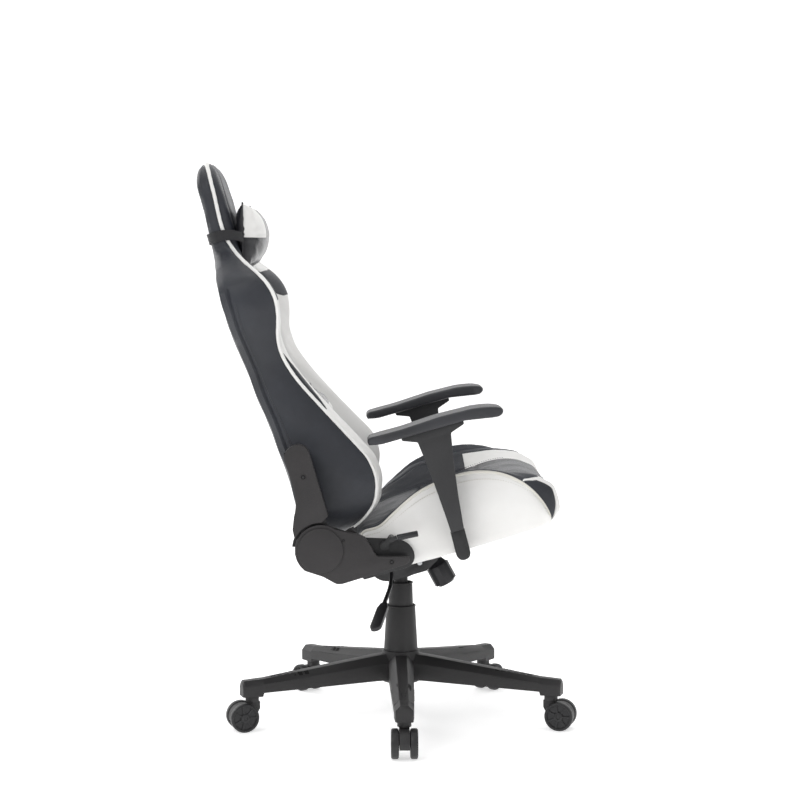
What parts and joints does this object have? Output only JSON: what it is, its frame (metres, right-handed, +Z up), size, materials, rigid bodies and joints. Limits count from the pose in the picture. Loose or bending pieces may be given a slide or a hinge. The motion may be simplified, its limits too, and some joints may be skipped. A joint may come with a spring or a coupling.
{
  "type": "gaming chair",
  "caption": "Racing-style swivel chair: bucket seat, reclining winged back, neck and lumbar pillows, lifting arms, gas lift and a star base on castors.",
  "frame": {"origin": "bottom centre of the chair's bounding box, on the floor; the column axis is 22 mm ahead of it and 6 mm to the sitter's left", "axes": "+X to the front of the chair, +Y to the sitter's left, +Z up; the chair stands in its leaned-back rest pose"},
  "size_m": [0.7138, 0.6784, 1.076],
  "materials": {
    "base_plastic": "fine moulded texture",
    "cover_plastic": "fine moulded texture",
    "arm_plastic": "fine moulded texture",
    "castor_plastic": "satin",
    "wheel_plastic": "satin tread",
    "satin_plastic": "satin",
    "arm_pad_skin": "satin grained skin over foam",
    "black_leather": "soft grained artificial leather",
    "white_leather": "soft grained artificial leather",
    "black_webbing": "woven elastic",
    "black_steel": "black powder coat",
    "bright_steel": "ground steel",
    "plywood": "bare plywood"
  },
  "bodies": {
    "base": {"star_base": "base_plastic", "gas_cylinder": "black_steel", "cover_lower": "base_plastic"},
    "cover_mid": {"cover_middle": "base_plastic"},
    "lift": {"piston_tube": "bright_steel"},
    "mechanism": {"cover_upper": "base_plastic", "tilt_socket": "black_steel", "tilt_pin": "bright_steel"},
    "seat": {"tilt_housing": "black_steel", "seat_pan": "plywood", "seat_cushion": "white_leather", "seat_bracket_right": "black_steel", "recliner_right": "bright_steel", "lower_cover_right": "cover_plastic", "disc_cap_right": "cover_plastic", "arm_bracket_right": "black_steel", "seat_bracket_left": "black_steel", "recliner_left": "bright_steel", "lower_cover_left": "cover_plastic", "disc_cap_left": "cover_plastic", "arm_bracket_left": "black_steel"},
    "tension_knob": {"tension_knob": "cover_plastic"},
    "lever_pivot": {"lever_collar": "black_steel"},
    "height_lever": {"lever_rod": "black_steel", "lever_paddle": "cover_plastic"},
    "recline_lever": {"recline_lever": "black_steel", "recline_grip": "cover_plastic"},
    "back": {"back_frame": "black_steel", "back_cushion": "white_leather", "back_rear_panel": "black_leather", "back_bracket_right": "black_steel", "back_bracket_left": "black_steel", "upper_cover_right": "cover_plastic", "upper_cover_left": "cover_plastic", "lumbar_pillow": "black_leather", "lumbar_strap": "black_webbing", "strap_buckle": "satin_plastic"},
    "neck_pillow": {"neck_pillow": "black_leather", "neck_strap": "black_webbing"},
    "arm_right": {"arm_sleeve_right": "arm_plastic", "arm_pad_right": "arm_pad_skin"},
    "arm_left": {"arm_sleeve_left": "arm_plastic", "arm_pad_left": "arm_pad_skin"},
    "button_right": {"arm_button_right": "satin_plastic"},
    "button_left": {"arm_button_left": "satin_plastic"},
    "castor_1": {"castor_hood_1": "castor_plastic"},
    "wheel_1_a": {"castor_wheel_1_a": "wheel_plastic"},
    "wheel_1_b": {"castor_wheel_1_b": "wheel_plastic"},
    "castor_2": {"castor_hood_2": "castor_plastic"},
    "wheel_2_a": {"castor_wheel_2_a": "wheel_plastic"},
    "wheel_2_b": {"castor_wheel_2_b": "wheel_plastic"},
    "castor_3": {"castor_hood_3": "castor_plastic"},
    "wheel_3_a": {"castor_wheel_3_a": "wheel_plastic"},
    "wheel_3_b": {"castor_wheel_3_b": "wheel_plastic"},
    "castor_4": {"castor_hood_4": "castor_plastic"},
    "wheel_4_a": {"castor_wheel_4_a": "wheel_plastic"},
    "wheel_4_b": {"castor_wheel_4_b": "wheel_plastic"},
    "castor_5": {"castor_hood_5": "castor_plastic"},
    "wheel_5_a": {"castor_wheel_5_a": "wheel_plastic"},
    "wheel_5_b": {"castor_wheel_5_b": "wheel_plastic"}
  },
  "joints": [
    {"name": "height_slide", "type": "slide", "parent": "base", "child": "lift", "axis": [0, 0, 1], "range_m": [-0.015, 0.065]},
    {"name": "cover_slide", "type": "slide", "parent": "base", "child": "cover_mid", "axis": [0, 0, 1], "range_m": [-0.0075, 0.0325]},
    {"name": "swivel", "type": "hinge", "parent": "lift", "child": "mechanism", "pos_m": [0.02091, 0.00725, 0.29], "axis": [0, 0, 1], "continuous": true},
    {"name": "tilt", "type": "hinge", "parent": "mechanism", "child": "seat", "pos_m": [0.05591, 0.00725, 0.315], "axis": [0, 1, 0], "range_deg": [0, 13.5]},
    {"name": "tension_turn", "type": "hinge", "parent": "seat", "child": "tension_knob", "pos_m": [0.09128, 0.00725, 0.30171], "axis": [0.4772, 0, -0.8788], "continuous": true},
    {"name": "height_lever_lift", "type": "hinge", "parent": "seat", "child": "lever_pivot", "pos_m": [0.00191, -0.04475, 0.311], "axis": [-0.9613, 0, -0.2756], "range_deg": [0, 8], "stiffness_Nm_per_rad": 2, "springref_deg": -17.19},
    {"name": "height_lever_pull", "type": "slide", "parent": "lever_pivot", "child": "height_lever", "axis": [0, -1, 0], "range_m": [0, 0.01]},
    {"name": "recline", "type": "hinge", "parent": "seat", "child": "back", "pos_m": [-0.12919, 0.00725, 0.3739], "axis": [0, -1, 0], "range_deg": [0, 65]},
    {"name": "recline_lever_pull", "type": "hinge", "parent": "seat", "child": "recline_lever", "pos_m": [-0.01408, -0.26275, 0.37882], "axis": [0, -1, 0], "range_deg": [0, 22], "stiffness_Nm_per_rad": 0.5, "springref_deg": -17.19},
    {"name": "neck_pillow_slide", "type": "slide", "parent": "back", "child": "neck_pillow", "axis": [-0.2756, 0, 0.9613], "range_m": [0, 0.04]},
    {"name": "arm_height_right", "type": "slide", "parent": "seat", "child": "arm_right", "axis": [-0.2756, 0, 0.9613], "range_m": [0, 0.07]},
    {"name": "arm_button_right_press", "type": "slide", "parent": "arm_right", "child": "button_right", "axis": [0, -1, 0], "range_m": [0, 0.0025], "stiffness_N_per_m": 400, "springref_m": -0.002},
    {"name": "arm_height_left", "type": "slide", "parent": "seat", "child": "arm_left", "axis": [-0.2756, 0, 0.9613], "range_m": [0, 0.07]},
    {"name": "arm_button_left_press", "type": "slide", "parent": "arm_left", "child": "button_left", "axis": [0, 1, 0], "range_m": [0, 0.0025], "stiffness_N_per_m": 400, "springref_m": -0.002},
    {"name": "castor_1_swivel", "type": "hinge", "parent": "base", "child": "castor_1", "pos_m": [0.02091, -0.29275, 0.066], "axis": [0, 0, 1], "continuous": true},
    {"name": "wheel_1_a_spin", "type": "hinge", "parent": "castor_1", "child": "wheel_1_a", "pos_m": [0.00391, -0.31175, 0.0275], "axis": [1, 0, 0], "continuous": true},
    {"name": "wheel_1_b_spin", "type": "hinge", "parent": "castor_1", "child": "wheel_1_b", "pos_m": [0.03791, -0.31175, 0.0275], "axis": [1, 0, 0], "continuous": true},
    {"name": "castor_2_swivel", "type": "hinge", "parent": "base", "child": "castor_2", "pos_m": [0.30623, -0.08546, 0.066], "axis": [0, 0, 1], "continuous": true},
    {"name": "wheel_2_a_spin", "type": "hinge", "parent": "castor_2", "child": "wheel_2_a", "pos_m": [0.31905, -0.10749, 0.0275], "axis": [0.309, 0.9511, 0], "continuous": true},
    {"name": "wheel_2_b_spin", "type": "hinge", "parent": "castor_2", "child": "wheel_2_b", "pos_m": [0.32955, -0.07516, 0.0275], "axis": [0.309, 0.9511, 0], "continuous": true},
    {"name": "castor_3_swivel", "type": "hinge", "parent": "base", "child": "castor_3", "pos_m": [0.19725, 0.24996, 0.066], "axis": [0, 0, 1], "continuous": true},
    {"name": "wheel_3_a_spin", "type": "hinge", "parent": "castor_3", "child": "wheel_3_a", "pos_m": [0.22217, 0.25533, 0.0275], "axis": [-0.809, 0.5878, 0], "continuous": true},
    {"name": "wheel_3_b_spin", "type": "hinge", "parent": "castor_3", "child": "wheel_3_b", "pos_m": [0.19466, 0.27532, 0.0275], "axis": [-0.809, 0.5878, 0], "continuous": true},
    {"name": "castor_4_swivel", "type": "hinge", "parent": "base", "child": "castor_4", "pos_m": [-0.15542, 0.24996, 0.066], "axis": [0, 0, 1], "continuous": true},
    {"name": "wheel_4_a_spin", "type": "hinge", "parent": "castor_4", "child": "wheel_4_a", "pos_m": [-0.15284, 0.27532, 0.0275], "axis": [-0.809, -0.5878, 0], "continuous": true},
    {"name": "wheel_4_b_spin", "type": "hinge", "parent": "castor_4", "child": "wheel_4_b", "pos_m": [-0.18034, 0.25533, 0.0275], "axis": [-0.809, -0.5878, 0], "continuous": true},
    {"name": "castor_5_swivel", "type": "hinge", "parent": "base", "child": "castor_5", "pos_m": [-0.2644, -0.08546, 0.066], "axis": [0, 0, 1], "continuous": true},
    {"name": "wheel_5_a_spin", "type": "hinge", "parent": "castor_5", "child": "wheel_5_a", "pos_m": [-0.28773, -0.07516, 0.0275], "axis": [0.309, -0.9511, 0], "continuous": true},
    {"name": "wheel_5_b_spin", "type": "hinge", "parent": "castor_5", "child": "wheel_5_b", "pos_m": [-0.27722, -0.10749, 0.0275], "axis": [0.309, -0.9511, 0], "continuous": true}
  ],
  "couplings": [
    {"joint": "cover_slide", "follows": "height_slide", "ratio": 0.5}
  ]
}
